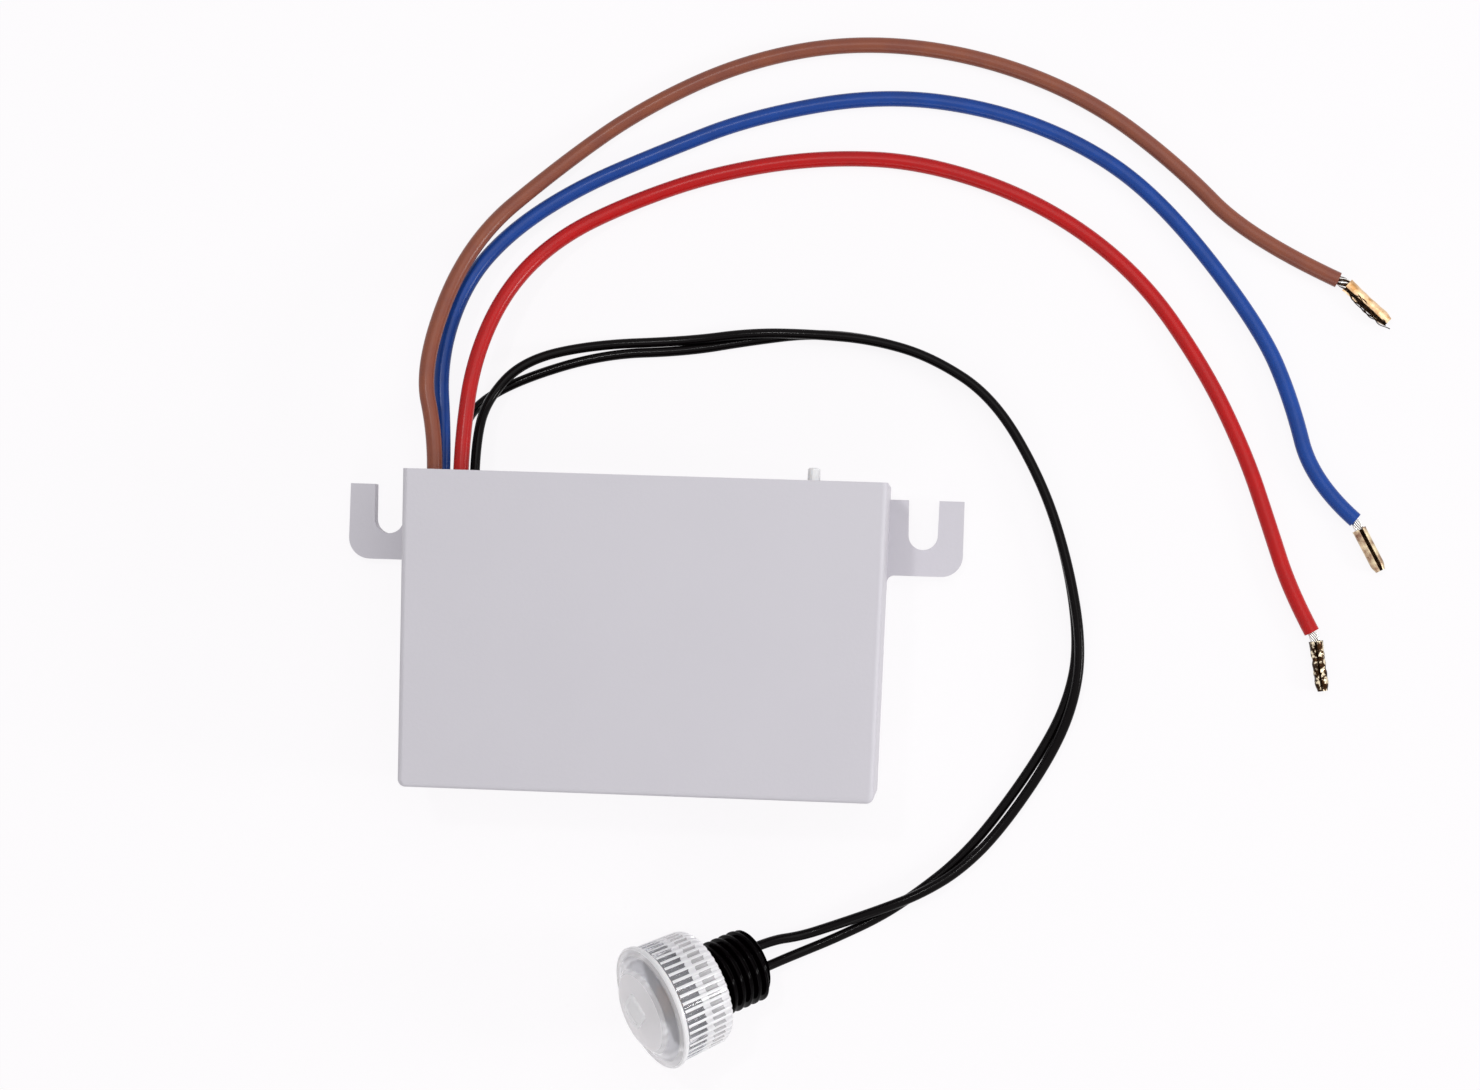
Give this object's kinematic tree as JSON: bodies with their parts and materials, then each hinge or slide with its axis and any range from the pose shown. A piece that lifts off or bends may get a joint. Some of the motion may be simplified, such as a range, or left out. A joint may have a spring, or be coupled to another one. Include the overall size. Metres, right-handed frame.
{
  "type": "twilight switch",
  "caption": "Sealed twilight switch: grey box with two open hooks, loose mains leads with crimped ends, and a ribbed clear light sensor on a threaded stem at the end of two thin leads.",
  "frame": {"origin": "middle of the housing's flat back face, which lies on the table", "axes": "+X right along the housing with the leads on the left, +Y towards the lead side, +Z out of the front face"},
  "size_m": [0.1664, 0.1651, 0.0235],
  "materials": {
    "grey_plastic": "fine moulded texture",
    "dark_plastic": "satin",
    "resin": "poured, glossy",
    "board_laminate": "satin lacquer",
    "blue_plastic": "satin",
    "white_plastic": "satin",
    "copper": "enamelled wire",
    "steel": "plated",
    "brass": "dull, tinned in places",
    "yellow_plastic": "satin",
    "ceramic_tan": "lacquer",
    "component_black": "satin",
    "component_red": "glass body",
    "can_sleeve": "shrunk sleeve",
    "brown_insulation": "soft sheen",
    "blue_insulation": "soft sheen",
    "red_insulation": "soft sheen",
    "black_insulation": "soft sheen",
    "tinned_wire": "twisted strands",
    "black_plastic": "glossy",
    "clear_plastic": "clear, frosted front",
    "seal_rubber": "soft",
    "cell_face": "lacquered face",
    "potting_black": "poured"
  },
  "bodies": {
    "case": {"bleed_resistor": "ceramic_tan", "blue_ferrule": "brass", "blue_lead": "blue_insulation", "blue_strands": "tinned_wire", "blue_tail": "blue_insulation", "board": "board_laminate", "brown_ferrule": "brass", "brown_lead": "brown_insulation", "brown_strands": "tinned_wire", "brown_tail": "brown_insulation", "cell_holder": "white_plastic", "comparator": "component_black", "end_plate": "dark_plastic", "film_capacitor": "yellow_plastic", "flyback_diode": "component_black", "housing": "grey_plastic", "lens_cap": "clear_plastic", "over_lead": "black_insulation", "photocell": "cell_face", "rectifier_diodes": "component_black", "red_ferrule": "brass", "red_lead": "red_insulation", "red_strands": "tinned_wire", "red_tail": "red_insulation", "relay_base": "dark_plastic", "relay_bobbin": "white_plastic", "relay_contacts": "brass", "relay_core": "steel", "relay_cover": "dark_plastic", "relay_winding": "copper", "relay_yoke": "steel", "resin": "resin", "seal_ring": "seal_rubber", "sensor_stem": "black_plastic", "sensor_tails": "black_insulation", "signal_resistors": "ceramic_tan", "smoothing_capacitor": "can_sleeve", "stem_potting": "potting_black", "stem_tails": "black_insulation", "surge_resistor": "ceramic_tan", "timing_capacitor": "can_sleeve", "transistor": "component_black", "trimmer_body": "blue_plastic", "under_lead": "black_insulation", "varistor": "blue_plastic", "zener_diode": "component_red"},
    "spindle": {"trimmer_spindle": "white_plastic"},
    "armature": {"relay_armature": "steel"}
  },
  "joints": [
    {"name": "trimmer_turn", "type": "hinge", "parent": "case", "child": "spindle", "pos_m": [0.0257, 0.0202, 0.0102], "axis": [0, 1, 0], "range_deg": [-135, 135]},
    {"name": "armature_pull", "type": "hinge", "parent": "case", "child": "armature", "pos_m": [-0.004, -0.0135, 0.0173], "axis": [0, 1, 0], "range_deg": [0, 3]}
  ]
}
